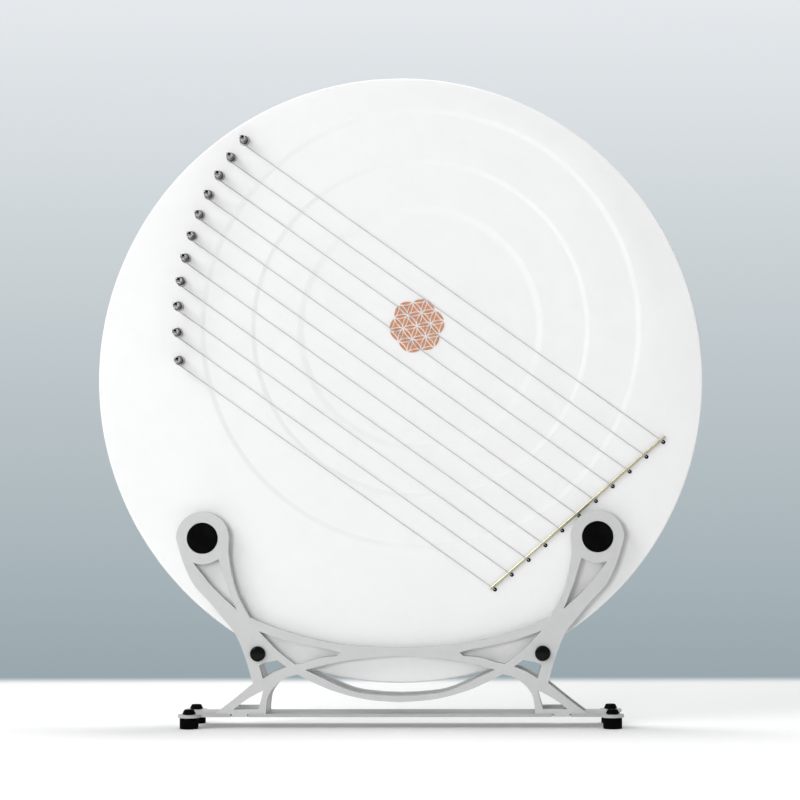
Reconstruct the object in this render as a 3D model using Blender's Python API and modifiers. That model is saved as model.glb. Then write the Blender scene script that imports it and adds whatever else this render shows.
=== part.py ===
"""Crystal lyre harp: a frosted quartz disc with eleven strings, standing in a plate cradle.

Metres, +Z up. The strings face -Y, +X is to the right seen from the front, and the
origin lies on the floor under the middle of the stand.
"""

import math

import bmesh
import bpy
from mathutils import Matrix, Vector

# Clearance kept between separate pieces that touch on the real object
GAP = 0.0003

# Quartz disc
DISC_RADIUS = 0.2025
DISC_THICKNESS = 0.014
DISC_EDGE_ROUND = 0.0012
DISC_STEPS = 80

# Three terraces sunk in the front of the disc, stepping down to an off-centre middle
TERRACE_OFFSET = Vector((0.014, 0.0341))
TERRACE_STEP = 0.001
TERRACE_RIM_BAND = 0.054
TERRACE_BANDS = (0.0343, 0.0308)
TERRACE_SLOPE = 0.0025
TERRACE_STEPS = 56

# Copper inlay: seven overlapping circles on a triangular lattice
ROSETTE_OFFSET = Vector((-0.0021, 0.0020))
ROSETTE_CIRCLE = 0.0094
ROSETTE_TURN = math.radians(9.7)
ROSETTE_LINE = 0.0007
ROSETTE_BACKING = 0.0003
ROSETTE_RELIEF = 0.0003

# Cradle plates: the boss, the knot at the bolt and the foot, which the outline hangs on
BOSS_X = 0.1315
BOSS_Z = 0.1264
BOSS_RADIUS = 0.0176
KNOT_X = 0.0946
KNOT_Z = 0.0495
FOOT_X = 0.107
TOP_ARC_Z = 0.0535
TOP_BAR = 0.0056
LOWER_ARC_Z = 0.0172
LOWER_BAR = 0.0041
PLATE_THICKNESS = 0.008
PLATE_SPACING = 0.020

# Rubber pads that hold the disc between the bosses
PAD_NECK_RADIUS = 0.01015
PAD_FLANGE_RADIUS = 0.0125
PAD_PROUD = 0.0004

# Cross bolts, their sleeves and their domed nuts
BOLT_RADIUS = 0.0015
SLEEVE_RADIUS = 0.0025
NUT_RADIUS = 0.0051
NUT_HEIGHT = 0.003
NUT_WALL = 0.0012

# Base plate, lying on the feet
BASE_THICKNESS = 0.002
BASE_HALF_LENGTH = 0.1404
BASE_HALF_WIDTH = 0.019
EAR_RADIUS = 0.0075
EAR_INSET = 0.001
TAB_WIDTH = 0.0104
NOTCH_PLAY = 0.0008

# Countersunk screws from below into the plates, outside each tab
SCREW_RADIUS = 0.00125
SCREW_HEAD_RADIUS = 0.0024
SCREW_HEAD_HEIGHT = 0.0012
SCREW_BITE = 0.0025
SCREW_OFFSET = 0.0100

# Rubber feet, pushed up through the ears of the base plate
FOOT_RADIUS = 0.00625
FOOT_HEIGHT = 0.0072
FOOT_NECK_RADIUS = 0.003
FOOT_NUB_RADIUS = 0.00445
FOOT_NUB_TOP_RADIUS = 0.0034
FOOT_NUB_HEIGHT = 0.0029

# Bridge rod across the lower right of the disc
ROD_RADIUS = 0.001
ROD_LENGTH = 0.1548
ROD_ANGLE = math.radians(40.93)
ROD_TO_PAD = 0.0204
ROD_RIM_MARGIN = 0.0214

# Strings, the top one first
STRING_COUNT = 11
STRING_PITCH = 0.01491
STRING_RADIUS = 0.00025
STRING_SLOPE = math.radians(-36.2)
LAST_HOLE = 0.0025
HOLE_OFFSET = 0.0023
HOLE_RADIUS = 0.0011
HOLE_STEPS = 8
BALL_END_RADIUS = 0.002
BALL_END_LENGTH = 0.003
RUN_HEIGHT = 0.0048

# Tuning pins, which stand on an arc near the left edge of the disc
PIN_ARC_MARGIN = 0.0065
PIN_ARC_OFFSET = Vector((0.0473, 0.0360))
PIN_RADIUS = 0.002
PIN_WAIST_RADIUS = 0.00195
PIN_PROUD = 0.020
PIN_INSET = 0.002
PIN_HEAD_LENGTH = 0.008
PIN_HEAD_FLATS = 0.0032
PIN_FLAT_LENGTH = 0.007
PIN_STEPS = 10
PIN_DOME = 0.0008
PIN_TAPER = 0.0003
BUSHING_WALL = 0.0007
WINDING_TURNS = 3
WINDING_PITCH = 0.00098
WINDING_STEPS = 10

# Worked out from the sizes above
BASE_BOTTOM = FOOT_HEIGHT + GAP
BASE_TOP = BASE_BOTTOM + BASE_THICKNESS
PLATE_INNER = PLATE_SPACING / 2
PLATE_OUTER = PLATE_INNER + PLATE_THICKNESS
PLATE_MIDDLE = (PLATE_INNER + PLATE_OUTER) / 2
HALF_DISC = DISC_THICKNESS / 2
DISC_Z = KNOT_Z + math.sqrt((DISC_RADIUS + SLEEVE_RADIUS + GAP) ** 2 - KNOT_X ** 2)
DISC_CENTRE = Vector((0, DISC_Z))
EAR_Y = BASE_HALF_WIDTH + EAR_INSET
WINDING_RADIUS = PIN_WAIST_RADIUS + GAP + STRING_RADIUS
BUSHING_RADIUS = PIN_RADIUS + GAP + BUSHING_WALL
ALONG_ROD = Vector((math.cos(ROD_ANGLE), math.sin(ROD_ANGLE)))
PAST_ROD = Vector((math.sin(ROD_ANGLE), -math.cos(ROD_ANGLE)))

PART = "lyre_harp"
CUTTERS = "lyre_harp_cutters"


# Scene, materials and small helpers

def clear_scene():
    for item in list(bpy.data.objects):
        bpy.data.objects.remove(item, do_unlink=True)


def collection(name):
    made = bpy.data.collections.new(name)
    bpy.context.scene.collection.children.link(made)
    return made


def material(name, color, roughness, metallic=0.0):
    made = bpy.data.materials.new(name)
    made.use_nodes = True
    shader = made.node_tree.nodes["Principled BSDF"]
    shader.inputs["Base Color"].default_value = (*color, 1.0)
    shader.inputs["Roughness"].default_value = roughness
    shader.inputs["Metallic"].default_value = metallic
    made.diffuse_color = (*color, 1.0)
    return made


def smooth(mesh):
    mesh.shade_smooth()
    mesh.set_sharp_from_angle(angle=math.radians(35))


def part(name, mesh, finish, place=(0, 0, 0)):
    """A named piece of the harp at a place, with its material."""
    made = bpy.data.objects.new(name, mesh)
    made.location = place
    bpy.data.collections[PART].objects.link(made)
    mesh.materials.clear()
    mesh.materials.append(finish)
    smooth(mesh)
    return made


def cutter(name, mesh, place=(0, 0, 0)):
    made = bpy.data.objects.new(name, mesh)
    made.location = place
    made.hide_render = True
    made.display_type = "WIRE"
    bpy.data.collections[CUTTERS].objects.link(made)
    return made


def boolean(target, tool, operation, solver="EXACT"):
    change = target.modifiers.new(tool.name, "BOOLEAN")
    change.operation = operation
    change.solver = solver
    change.object = tool


def cut(target, tool, solver="EXACT"):
    boolean(target, tool, "DIFFERENCE", solver)


def fuse(target, tool):
    boolean(target, tool, "UNION")


def carry(parent, children):
    """Parent the children, which keep their places."""
    for child in children:
        child.parent = parent
        child.matrix_parent_inverse = Matrix.Translation(parent.location).inverted()


def evaluated_mesh(data, modify=None):
    """The closed mesh that a curve, or a mesh with modifiers, gives."""
    item = bpy.data.objects.new("draft", data)
    bpy.context.scene.collection.objects.link(item)
    if modify:
        modify(item)
    bpy.context.view_layer.update()
    graph = bpy.context.evaluated_depsgraph_get()
    mesh = bpy.data.meshes.new_from_object(item.evaluated_get(graph))
    bpy.data.objects.remove(item, do_unlink=True)
    body = bmesh.new()
    body.from_mesh(mesh)
    bmesh.ops.remove_doubles(body, verts=body.verts, dist=0.000001)
    bmesh.ops.dissolve_limit(body, angle_limit=math.radians(0.05), verts=body.verts, edges=body.edges)
    bmesh.ops.recalc_face_normals(body, faces=body.faces)
    body.to_mesh(mesh)
    body.free()
    return mesh


def turned(profile, steps, upright=False, ring=False):
    """A profile of (radius, height), top first, spun about the axis.

    Heights are measured towards the front, or upwards when upright.
    """
    edges = [(step, step + 1) for step in range(len(profile) - 1)]
    if ring:
        edges.append((len(profile) - 1, 0))
    line = bpy.data.meshes.new("profile")
    line.from_pydata([(radius, 0, height) for radius, height in profile], edges, [])

    def spin(item):
        screw = item.modifiers.new("Spin", "SCREW")
        screw.steps = steps
        screw.render_steps = steps
        screw.use_merge_vertices = True
        screw.merge_threshold = 0.00001

    mesh = evaluated_mesh(line, spin)
    if not upright:
        mesh.transform(Matrix.Rotation(math.radians(90), 4, "X"))
    return mesh


def tube(bore, radius, top, bottom):
    """The profile of a plain tube."""
    return [(radius, top), (radius, bottom), (bore, bottom), (bore, top)]


def flat(outlines, thickness):
    """Outlines in X and Y, the inner ones being windows, given a thickness about Z = 0."""
    curve = bpy.data.curves.new("outline", "CURVE")
    curve.dimensions = "2D"
    curve.fill_mode = "BOTH"
    curve.extrude = thickness / 2
    for outline in outlines:
        spline = curve.splines.new("POLY")
        spline.points.add(len(outline) - 1)
        for point, (x, y) in zip(spline.points, outline):
            point.co = (x, y, 0, 1)
        spline.use_cyclic_u = True
    return evaluated_mesh(curve)


def wire(points, radius, resolution):
    curve = bpy.data.curves.new("wire", "CURVE")
    curve.dimensions = "3D"
    curve.bevel_depth = radius
    curve.bevel_resolution = resolution
    curve.use_fill_caps = True
    spline = curve.splines.new("POLY")
    spline.points.add(len(points) - 1)
    for point, place in zip(spline.points, points):
        point.co = (*place, 1)
    return evaluated_mesh(curve)


def copies(mesh, places):
    """One mesh that holds a separate body at each place."""
    body = bmesh.new()
    for place in places:
        moved = mesh.copy()
        moved.transform(Matrix.Translation(place))
        body.from_mesh(moved)
    whole = bpy.data.meshes.new("copies")
    body.to_mesh(whole)
    body.free()
    return whole


def at(plan, y=0.0):
    """A point on the disc's front, given as X and Z, at a depth."""
    return Vector((plan[0], y, plan[1]))


def arc(centre, radius, start, end, steps):
    """Points on an arc between two angles in degrees, both ends included."""
    points = []
    for step in range(steps + 1):
        angle = math.radians(start + (end - start) * step / steps)
        points.append((centre[0] + radius * math.cos(angle), centre[1] + radius * math.sin(angle)))
    return points


def circle(centre, radius, steps):
    return arc(centre, radius, 0, 360, steps)[:-1]


def through(points, steps=2):
    """A smooth line through points, its ends included."""
    ends = [points[0]] + list(points) + [points[-1]]
    line = []
    for before, start, end, after in zip(ends, ends[1:], ends[2:], ends[3:]):
        for step in range(steps):
            t = step / steps
            line.append(tuple(
                0.5 * (2 * b + (c - a) * t + (2 * a - 5 * b + 4 * c - d) * t ** 2
                       + (3 * b - a - 3 * c + d) * t ** 3)
                for a, b, c, d in zip(before, start, end, after)))
    return line + [tuple(points[-1])]


def mirrored(points):
    """The same outline on the left, still running the same way round."""
    return [(-x, y) for x, y in reversed(points)]


# Where the strings, holes and pins are, in X and Z

def rod_ends():
    """The rod lies a set distance from the right pad and ends short of the rim."""
    beside = Vector((BOSS_X, BOSS_Z)) - PAST_ROD * ROD_TO_PAD - DISC_CENTRE
    reach = DISC_RADIUS - ROD_RIM_MARGIN
    along = beside.dot(ALONG_ROD)
    upper = beside + ALONG_ROD * (-along + math.sqrt(along ** 2 - beside.length_squared + reach ** 2))
    upper += DISC_CENTRE
    return upper - ALONG_ROD * ROD_LENGTH, upper


def string_holes():
    lower, _ = rod_ends()
    last = lower + ALONG_ROD * LAST_HOLE + PAST_ROD * HOLE_OFFSET
    return [last + ALONG_ROD * STRING_PITCH * (STRING_COUNT - 1 - n) for n in range(STRING_COUNT)]


def pin_places():
    """Each pin stands where the line of its string meets the pin arc."""
    centre = DISC_CENTRE + PIN_ARC_OFFSET
    radius = DISC_RADIUS - PIN_ARC_MARGIN
    back = -Vector((math.cos(STRING_SLOPE), math.sin(STRING_SLOPE)))
    places = []
    for hole in string_holes():
        start = hole - centre
        along = start.dot(back)
        places.append(hole + back * (-along + math.sqrt(along ** 2 - start.length_squared + radius ** 2)))
    return places


# The disc and what it carries

def disc(quartz):
    edge = DISC_RADIUS - DISC_EDGE_ROUND
    shoulder = HALF_DISC - DISC_EDGE_ROUND
    profile = [(0, HALF_DISC)]
    profile += arc((edge, shoulder), DISC_EDGE_ROUND, 90, 0, 3)
    profile += arc((edge, -shoulder), DISC_EDGE_ROUND, 0, -90, 3)
    profile += [(0, -HALF_DISC)]
    made = part("crystal_disc", turned(profile, DISC_STEPS), quartz, (0, 0, DISC_Z))
    cut(made, cutter("terraces", terrace_mesh(), at(DISC_CENTRE + TERRACE_OFFSET, -HALF_DISC)))
    cut(made, cutter("pin_holes", pin_hole_mesh()))
    cut(made, cutter("string_holes", string_hole_mesh()))
    return made


def terrace_radii():
    radii = [DISC_RADIUS - TERRACE_RIM_BAND]
    for band in TERRACE_BANDS:
        radii.append(radii[-1] - band)
    return radii


def terrace_mesh():
    """A stepped plug: heights are above the front face, steps narrow with depth."""
    radii = terrace_radii()
    profile = [(0, DISC_THICKNESS), (radii[0], DISC_THICKNESS)]
    for level, radius in enumerate(radii):
        profile.append((radius, -level * TERRACE_STEP))
        profile.append((radius - TERRACE_SLOPE, -(level + 1) * TERRACE_STEP))
    profile.append((0, -len(radii) * TERRACE_STEP))
    return turned(profile, TERRACE_STEPS)


def pin_hole_mesh():
    reach = DISC_THICKNESS
    radius = BUSHING_RADIUS + GAP
    plug = turned([(0, reach), (radius, reach), (radius, -reach), (0, -reach)], PIN_STEPS)
    return copies(plug, [at(place) for place in pin_places()])


def string_hole_mesh():
    """A narrow hole from the front and a wider pocket at the back, for the ball end."""
    reach = DISC_THICKNESS
    wide = BALL_END_RADIUS + GAP
    floor = pocket_floor()
    profile = [(0, reach), (HOLE_RADIUS, reach), (HOLE_RADIUS, floor)]
    profile += [(wide, floor), (wide, -reach), (0, -reach)]
    return copies(turned(profile, HOLE_STEPS), [at(hole) for hole in string_holes()])


def pocket_floor():
    return BALL_END_LENGTH + 2 * GAP - HALF_DISC


def bushings(nylon):
    ring = tube(PIN_RADIUS + GAP, BUSHING_RADIUS, HALF_DISC, -HALF_DISC)
    mesh = turned(ring, PIN_STEPS, ring=True)
    return [part(f"pin_bushing_{number:02d}", mesh, nylon, at(place))
            for number, place in enumerate(pin_places(), 1)]


def bridge_rod(brass):
    y = -HALF_DISC - GAP - ROD_RADIUS
    return part("bridge_rod", wire([at(end, y) for end in rod_ends()], ROD_RADIUS, 3), brass)


def rosette(copper):
    """Forty-two petals and twenty-four hollow triangles, raised on a backing of seven circles."""
    middle = DISC_CENTRE + TERRACE_OFFSET + ROSETTE_OFFSET
    floor = HALF_DISC - len(terrace_radii()) * TERRACE_STEP + GAP
    turn = Matrix.Rotation(math.radians(90), 4, "X") @ Matrix.Rotation(ROSETTE_TURN, 4, "Z")
    backing = flat([seven_circles()], ROSETTE_BACKING)
    backing.transform(turn)
    made = part("rosette_inlay", backing, copper, at(middle, -floor - ROSETTE_BACKING / 2))
    relief = bmesh.new()
    for outline in rosette_outlines():
        relief.from_mesh(flat([outline], ROSETTE_RELIEF + ROSETTE_BACKING / 2))
    raised = bpy.data.meshes.new("relief")
    relief.to_mesh(raised)
    relief.free()
    raised.transform(turn)
    lift = ROSETTE_BACKING * 0.75 + ROSETTE_RELIEF / 2
    fuse(made, cutter("rosette_relief", raised, at(middle, -floor - lift)))
    return made


def seven_circles():
    """The outline of the backing, just inside the edge of the outer petals."""
    radius = ROSETTE_CIRCLE - ROSETTE_LINE
    cusp = ROSETTE_CIRCLE * math.cos(math.radians(30)) + math.sqrt(radius ** 2 - ROSETTE_CIRCLE ** 2 / 4)
    half = math.degrees(math.atan2(cusp / 2, cusp * math.cos(math.radians(30)) - ROSETTE_CIRCLE))
    points = []
    for lean in range(0, 360, 60):
        centre = Vector((math.cos(math.radians(lean)), math.sin(math.radians(lean)))) * ROSETTE_CIRCLE
        points += arc(centre, radius, lean - half, lean + half, 8)[:-1]
    return points


def lattice_point(column, row):
    return Vector((column + row / 2, row * math.sqrt(3) / 2)) * ROSETTE_CIRCLE


def rosette_outlines():
    spots = [(c, r) for c in range(-2, 3) for r in range(-2, 3) if on_lattice(c, r)]
    outlines = []
    for c, r in spots:
        for step in ((1, 0), (0, 1), (1, -1)):
            if on_lattice(c + step[0], r + step[1]):
                outlines.append(petal(lattice_point(c, r), lattice_point(*step)))
        for side in ((0, 1), (1, -1)):
            corners = [(c, r), (c + 1, r), (c + side[0], r + side[1])]
            if all(on_lattice(*corner) for corner in corners):
                outlines.append(hollow_triangle([lattice_point(*corner) for corner in corners]))
    return outlines


def on_lattice(column, row):
    return max(abs(column), abs(row), abs(column + row)) <= 2


def petal(start, along):
    """Two shallow arcs about the line between neighbouring lattice points."""
    middle = start + along / 2
    side = Vector((-along.y, along.x)) * math.sqrt(3) / 2
    radius = ROSETTE_CIRCLE - ROSETTE_LINE / 2
    half = math.degrees(math.acos(side.length / radius))
    lean = math.degrees(math.atan2(side.y, side.x))
    points = arc(middle - side, radius, lean - half, lean + half, 3)[:-1]
    return points + arc(middle + side, radius, lean + 180 - half, lean + 180 + half, 3)[:-1]


def hollow_triangle(corners):
    """Three arcs that bulge inwards between the corners of a lattice triangle."""
    centre = sum(corners, Vector((0, 0))) / 3
    reach = (corners[0] - centre).length
    radius = ROSETTE_CIRCLE + ROSETTE_LINE / 2
    tip = reach - math.sqrt(radius ** 2 - ROSETTE_CIRCLE ** 2)
    half = math.degrees(math.asin(tip * math.sin(math.radians(60)) / radius))
    points = []
    for corner in sorted(corners, key=lambda spot: math.atan2(*(spot - centre).yx)):
        towards = (corner - centre) / reach
        lean = math.degrees(math.atan2(towards.y, towards.x))
        points += arc(centre - towards * 2 * reach, radius, lean + half, lean - half, 2)[:-1]
    return points


# Pins and strings

def pin_mesh():
    """A round pin with a waist for the winding; its flats are cut afterwards."""
    tip = HALF_DISC + PIN_PROUD
    shoulder = tip - PIN_HEAD_LENGTH
    waist_top = HALF_DISC + RUN_HEIGHT + WINDING_TURNS * WINDING_PITCH + 4 * STRING_RADIUS
    waist_bottom = HALF_DISC + RUN_HEIGHT - 4 * STRING_RADIUS
    crown = PIN_RADIUS - PIN_TAPER
    profile = [(0, tip)]
    profile += [(crown * 0.6, tip - PIN_DOME * 0.25), (crown, tip - PIN_DOME)]
    profile += [(PIN_RADIUS, shoulder), (PIN_RADIUS, waist_top)]
    profile += [(PIN_WAIST_RADIUS, waist_top - STRING_RADIUS)]
    profile += [(PIN_WAIST_RADIUS, waist_bottom + STRING_RADIUS), (PIN_RADIUS, waist_bottom)]
    profile += [(PIN_RADIUS, PIN_INSET - HALF_DISC), (0, PIN_INSET - HALF_DISC)]
    return turned(profile, PIN_STEPS)


def flats_mesh():
    """A frame with a square window, which leaves four flats on what it cuts."""
    window = PIN_HEAD_FLATS / 2
    frame = 2 * PIN_HEAD_FLATS
    square = ((-1, -1), (1, -1), (1, 1), (-1, 1))
    outlines = [[(x * size, y * size) for x, y in square] for size in (frame, window)]
    mesh = flat(outlines, PIN_HEAD_LENGTH)
    mesh.transform(Matrix.Rotation(math.radians(90), 4, "X"))
    middle = HALF_DISC + PIN_PROUD - PIN_FLAT_LENGTH + PIN_HEAD_LENGTH / 2
    mesh.transform(Matrix.Translation((0, -middle, 0)))
    return mesh


def tuning_pins(chrome):
    """Cut one pin, then copy its mesh to each place."""
    draft = bpy.data.objects.new("pin_draft", pin_mesh())
    bpy.context.scene.collection.objects.link(draft)
    tool = cutter("pin_flats", flats_mesh())
    cut(draft, tool)
    bpy.context.view_layer.update()
    mesh = bpy.data.meshes.new_from_object(draft.evaluated_get(bpy.context.evaluated_depsgraph_get()))
    bpy.data.objects.remove(draft, do_unlink=True)
    pins = []
    for number, place in enumerate(pin_places(), 1):
        pins.append(part(f"tuning_pin_{number:02d}", mesh, chrome, at(place)))
    return pins


def string_points(pin, hole):
    """From the free end round the pin, along to the rod, over it and down through the disc."""
    run = hole - pin
    slope = math.atan2(run.y, run.x) + math.asin(WINDING_RADIUS / run.length)
    heading = Vector((math.cos(slope), math.sin(slope)))
    points = []
    for step in range(WINDING_TURNS * WINDING_STEPS + 1):
        left = WINDING_TURNS - step / WINDING_STEPS
        angle = slope - math.pi / 2 - 2 * math.pi * left
        spot = pin + Vector((math.cos(angle), math.sin(angle))) * WINDING_RADIUS
        points.append(at(spot, -HALF_DISC - RUN_HEIGHT - left * WINDING_PITCH))
    lift = ROD_RADIUS + GAP + STRING_RADIUS
    for bend in (0, 30, 60, 90):
        past = HOLE_OFFSET * math.sin(math.radians(bend))
        spot = hole + heading * ((past - HOLE_OFFSET) / heading.dot(PAST_ROD))
        rise = GAP + ROD_RADIUS + lift * math.cos(math.radians(bend))
        points.append(at(spot, -HALF_DISC - rise))
    points.append(at(hole, ball_end_front() + BALL_END_LENGTH / 2))
    return points


def ball_end_front():
    return HALF_DISC - GAP - BALL_END_LENGTH


def least_gap(points):
    """The least gap between stretches of a wire that lie more than a half turn apart."""
    apart = math.pi * WINDING_RADIUS
    travelled = [0.0]
    for before, after in zip(points, points[1:]):
        travelled.append(travelled[-1] + (after - before).length)
    gaps = []
    for first, near in enumerate(points):
        for second in range(first + 1, len(points)):
            if travelled[second] - travelled[first] > apart:
                gaps.append((points[second] - near).length - 2 * STRING_RADIUS)
    return min(gaps)


def strings(steel):
    """Each string is one unbroken wire with its ball end crimped on."""
    made = []
    gaps = []
    front = -ball_end_front()
    back = front - BALL_END_LENGTH
    profile = [(0, front), (BALL_END_RADIUS, front), (BALL_END_RADIUS, back), (0, back)]
    ball_end = turned(profile, HOLE_STEPS)
    for number, (pin, hole) in enumerate(zip(pin_places(), string_holes()), 1):
        points = string_points(pin, hole)
        gaps.append(least_gap(points))
        item = part(f"string_{number:02d}", wire(points, STRING_RADIUS, 1), steel)
        fuse(item, cutter(f"ball_end_{number:02d}", ball_end, at(hole)))
        made.append(item)
    print(f"Least gap of a string to itself: {min(gaps) * 1000:.2f} mm")
    return made


# The cradle

def boss(x, z):
    return BOSS_X + x, BOSS_Z + z


def knot(x, z):
    return KNOT_X + x, KNOT_Z + z


def foot(x, z):
    return FOOT_X + x, BASE_TOP + z


def plate_outline():
    """The right half from the middle of the top arc round to the middle of the lower arc."""
    top_arc = [(0, TOP_ARC_Z), (0.0111, TOP_ARC_Z), (0.0349, TOP_ARC_Z + 0.0015)]
    top_arc += [(0.0586, TOP_ARC_Z + 0.0059), knot(-0.0122, 0.0170), knot(0.0057, 0.0241)]
    inner_arm = [knot(0.0057, 0.0241), knot(0.0116, 0.0354), boss(-0.0211, -0.0309)]
    inner_arm += [boss(-0.0175, -0.0129), boss(-BOSS_RADIUS, 0)]
    outer_arm = [boss(BOSS_RADIUS, 0), boss(0.0126, -0.0165), boss(0.0058, -0.0308)]
    outer_arm += [boss(-0.0049, -0.0427), knot(0.0242, 0.0247), knot(0.0153, 0.0135)]
    outer_arm += [knot(0.0093, -0.0002), knot(0.0034, -0.0197)]
    strut = [knot(0.0034, -0.0197), foot(0.0065, 0.0078), foot(0.0168, 0)]
    half_tab = TAB_WIDTH / 2
    tab = [foot(half_tab, 0), foot(half_tab, -BASE_THICKNESS)]
    tab += [foot(-half_tab, -BASE_THICKNESS), foot(-half_tab, 0)]
    leg = [foot(-0.0176, 0), foot(-0.0186, 0.0096), foot(-0.0212, 0.0153), foot(-0.0262, 0.0207)]
    leg += [knot(-0.0193, -0.0157), knot(-0.0265, -0.0138)]
    lower_arc = [knot(-0.0265, -0.0138), (0.0468, LOWER_ARC_Z + 0.0084)]
    lower_arc += [(0.0231, LOWER_ARC_Z + 0.0020), (0, LOWER_ARC_Z)]
    half = through(top_arc)[:-1] + through(inner_arm)[:-1]
    half += arc((BOSS_X, BOSS_Z), BOSS_RADIUS, 180, 0, 10)[:-1]
    half += through(outer_arm)[:-1] + through(strut) + tab
    half += through(leg)[:-1] + through(lower_arc)
    left = mirrored(half)
    return half[:-1] + left[:-1]


def plate_windows():
    """Windows of the right half; the lens in the middle is made whole."""
    lens_top = TOP_ARC_Z - TOP_BAR
    lens_bottom = LOWER_ARC_Z + LOWER_BAR
    lens_tip = knot(-0.0318, -0.0108)
    upper = through([(0, lens_top), (0.0112, lens_top - 0.0004), (0.0398, lens_top - 0.0038), lens_tip])
    lower = through([lens_tip, (0.0349, lens_bottom + 0.0043), (0.0171, lens_bottom + 0.0009),
                     (0, lens_bottom)])
    lens_half = upper[:-1] + lower
    lens = lens_half[:-1] + mirrored(lens_half)[:-1]
    arm = arc((BOSS_X, BOSS_Z), BOSS_RADIUS - 0.0003, -69, -128, 5)[:-1]
    arm += through([boss(-0.0107, -0.0138), boss(-0.0160, -0.0300), knot(0.0158, 0.0333)])
    arm += through([knot(0.0140, 0.0292), boss(-0.0072, -0.0331), boss(0.0063, -0.0162)])[:-1]
    middle = through([knot(-0.0008, 0.0149), knot(-0.0142, 0.0101), knot(-0.0312, 0.0058),
                      (0.0473, TOP_ARC_Z - 0.0014), (0.0396, TOP_ARC_Z - 0.0034)])
    middle += through([(0.0420, TOP_ARC_Z - 0.0057), (0.0527, TOP_ARC_Z - 0.0067),
                       knot(-0.0312, -0.0059), knot(-0.0248, -0.0073)])
    middle += through([knot(-0.0248, -0.0073), knot(-0.0142, 0.0010), knot(-0.0077, 0.0074),
                       knot(-0.0008, 0.0149)])[1:-1]
    small = through([knot(-0.0008, -0.0079), knot(-0.0043, -0.0060), knot(-0.0131, -0.0044)])
    small += [knot(-0.0190, -0.0088), knot(-0.0116, -0.0117), knot(-0.0033, -0.0166)]
    toe = through([foot(-0.0159, 0.0156), foot(-0.0077, 0.0113), foot(-0.0013, 0.0071),
                   foot(0.0038, 0.0031)])
    toe += through([foot(-0.0125, 0.0031), foot(-0.0143, 0.0092), foot(-0.0159, 0.0156)])[:-1]
    pad_hole = circle((BOSS_X, BOSS_Z), PAD_NECK_RADIUS + GAP, 20)
    bolt_hole = circle((KNOT_X, KNOT_Z), BOLT_RADIUS + GAP, 12)
    right = [arm, middle, small, toe, pad_hole, bolt_hole]
    return [lens] + right + [mirrored(window) for window in right]


def screw_places(side):
    return [(hand * (FOOT_X + SCREW_OFFSET), side * PLATE_MIDDLE, 0) for hand in (-1, 1)]


def cradle_plate(name, side, aluminium):
    mesh = flat([plate_outline()] + plate_windows(), PLATE_THICKNESS)
    mesh.transform(Matrix.Rotation(math.radians(90), 4, "X"))
    made = part(name, mesh, aluminium, (0, side * PLATE_MIDDLE, 0))
    radius = SCREW_RADIUS + GAP
    top = BASE_TOP + SCREW_BITE + GAP
    plug = turned([(0, top), (radius, top), (radius, BASE_BOTTOM), (0, BASE_BOTTOM)], 12, upright=True)
    holes = cutter(f"{name}_screw_holes", copies(plug, screw_places(side)))
    # The soles of both legs lie in one line, which only this solver cuts cleanly
    cut(made, holes, "MANIFOLD")
    return made


def base_quarter():
    """The front right quarter, from the middle of the front edge to the right end."""
    notch = TAB_WIDTH / 2 + NOTCH_PLAY
    inner = -PLATE_INNER + GAP
    start = 180 - math.degrees(math.asin(EAR_INSET / EAR_RADIUS))
    quarter = [(FOOT_X - notch, -BASE_HALF_WIDTH), (FOOT_X - notch, inner)]
    quarter += [(FOOT_X + notch, inner), (FOOT_X + notch, -BASE_HALF_WIDTH)]
    return quarter + arc((BASE_HALF_LENGTH, -EAR_Y), EAR_RADIUS, start, 450, 12)


def base_plate(aluminium):
    right = base_quarter()
    right = right[:-1] + [(x, -y) for x, y in reversed(right)]
    holes = [circle((x, y), FOOT_NECK_RADIUS + GAP, 12) for x, y in foot_places()]
    left = [(-x, -y) for x, y in right]
    mesh = flat([right + left] + holes, BASE_THICKNESS)
    mesh.transform(Matrix.Translation((0, 0, BASE_BOTTOM + BASE_THICKNESS / 2)))
    made = part("base_plate", mesh, aluminium)
    plug = turned(screw_profile(GAP, BASE_TOP + GAP), 12, upright=True)
    places = screw_places(-1) + screw_places(1)
    cut(made, cutter("base_screw_holes", copies(plug, places)))
    return made


def screw_profile(play, top):
    """A countersunk screw with its head at the bottom, or its hole when given play."""
    shank = SCREW_RADIUS + play
    head = SCREW_HEAD_RADIUS + play
    return [(0, top), (shank, top), (shank, BASE_BOTTOM + SCREW_HEAD_HEIGHT), (head, BASE_BOTTOM),
            (head, BASE_BOTTOM - play), (0, BASE_BOTTOM - play)]


def base_screws(steel):
    profile = screw_profile(0, BASE_TOP + SCREW_BITE)
    mesh = turned(profile[:4] + [(0, BASE_BOTTOM)], 12, upright=True)
    names = ("front_left", "front_right", "rear_left", "rear_right")
    places = screw_places(-1) + screw_places(1)
    return [part(f"base_screw_{name}", mesh, steel, place) for name, place in zip(names, places)]


def foot_places():
    return [(hand * BASE_HALF_LENGTH, side * EAR_Y) for side in (-1, 1) for hand in (-1, 1)]


def feet(rubber):
    nub = BASE_TOP + GAP
    profile = [(0, nub + FOOT_NUB_HEIGHT), (FOOT_NUB_TOP_RADIUS, nub + FOOT_NUB_HEIGHT)]
    profile += [(FOOT_NUB_RADIUS, nub), (FOOT_NECK_RADIUS, nub), (FOOT_NECK_RADIUS, FOOT_HEIGHT)]
    profile += [(FOOT_RADIUS, FOOT_HEIGHT), (FOOT_RADIUS, 0), (0, 0)]
    mesh = turned(profile, 16, upright=True)
    names = ("foot_front_left", "foot_front_right", "foot_rear_left", "foot_rear_right")
    return [part(name, mesh, rubber, (x, y, 0)) for name, (x, y) in zip(names, foot_places())]


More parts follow.
